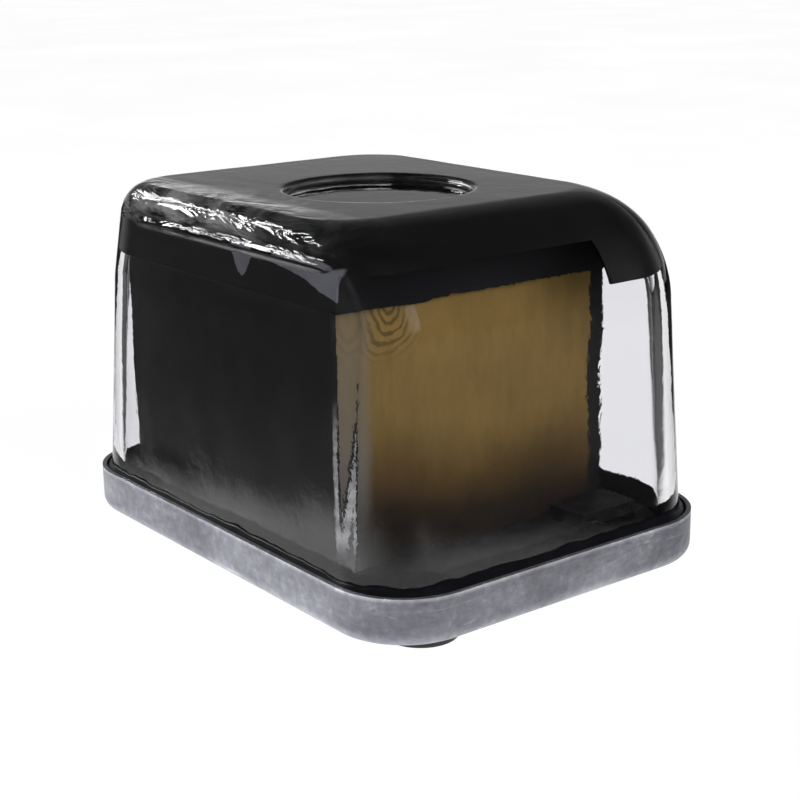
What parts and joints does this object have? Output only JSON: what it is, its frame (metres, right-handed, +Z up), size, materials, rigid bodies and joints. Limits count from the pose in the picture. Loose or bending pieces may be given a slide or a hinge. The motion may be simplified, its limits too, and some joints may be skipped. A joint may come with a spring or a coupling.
{
  "type": "glass bowl fuel filter cartridge",
  "caption": "Sealed box-shaped filter cartridge: pressed glass bowl with a sloping shoulder on a sheet steel pan, pleated element inside, ports underneath.",
  "frame": {"origin": "bottom centre of the box around the whole part, on the plane the feet of the grommets stand on", "axes": "+Z up through the glass top, +X along the long side towards the sloping shoulder and the inlet and drain ports, +Y to the side of the inlet and vent ports"},
  "size_m": [0.1112, 0.0824, 0.074],
  "materials": {
    "bowl_glass": "clear pressed glass with slight surface waviness",
    "pan_steel": "satin zinc-plated pressed sheet",
    "gasket_rubber": "moulded rubber",
    "sealant": "cured black sealant",
    "grommet_rubber": "moulded black rubber",
    "plug_plastic": "moulded black plastic",
    "tube_steel": "drawn thin-wall tube",
    "frame_plastic": "moulded black plastic",
    "spring_steel": "spring steel strip",
    "plate_black": "black plate",
    "potting": "cast black adhesive",
    "filter_card": "resin-treated card",
    "filter_paper": "resin-treated pleated paper",
    "cap_plastic": "moulded black plastic"
  },
  "bodies": {
    "cartridge": {"base_pan": "pan_steel", "bottom_frame": "frame_plastic", "bowl_gasket": "gasket_rubber", "centre_web": "filter_card", "dome_liner": "sealant", "end_panel_front": "filter_card", "end_panel_rear": "filter_card", "glass_bowl": "bowl_glass", "grommet_drain": "grommet_rubber", "grommet_inlet": "grommet_rubber", "grommet_outlet": "grommet_rubber", "grommet_vent": "grommet_rubber", "inlet_deflector": "frame_plastic", "outlet_seal": "grommet_rubber", "outlet_tube": "tube_steel", "pleat_pack_front": "filter_paper", "pleat_pack_rear": "filter_paper", "potting_left": "potting", "potting_right": "potting", "rim_sealant": "sealant", "side_plate_left": "plate_black", "side_plate_right": "plate_black", "spring_front": "spring_steel", "spring_rear": "spring_steel", "top_cap": "cap_plastic", "vent_tube": "tube_steel"},
    "drain": {"drain_plug": "plug_plastic"}
  },
  "joints": [
    {"name": "drain_pull", "type": "slide", "parent": "cartridge", "child": "drain", "axis": [0, 0, -1], "range_m": [0, 0.012]}
  ]
}
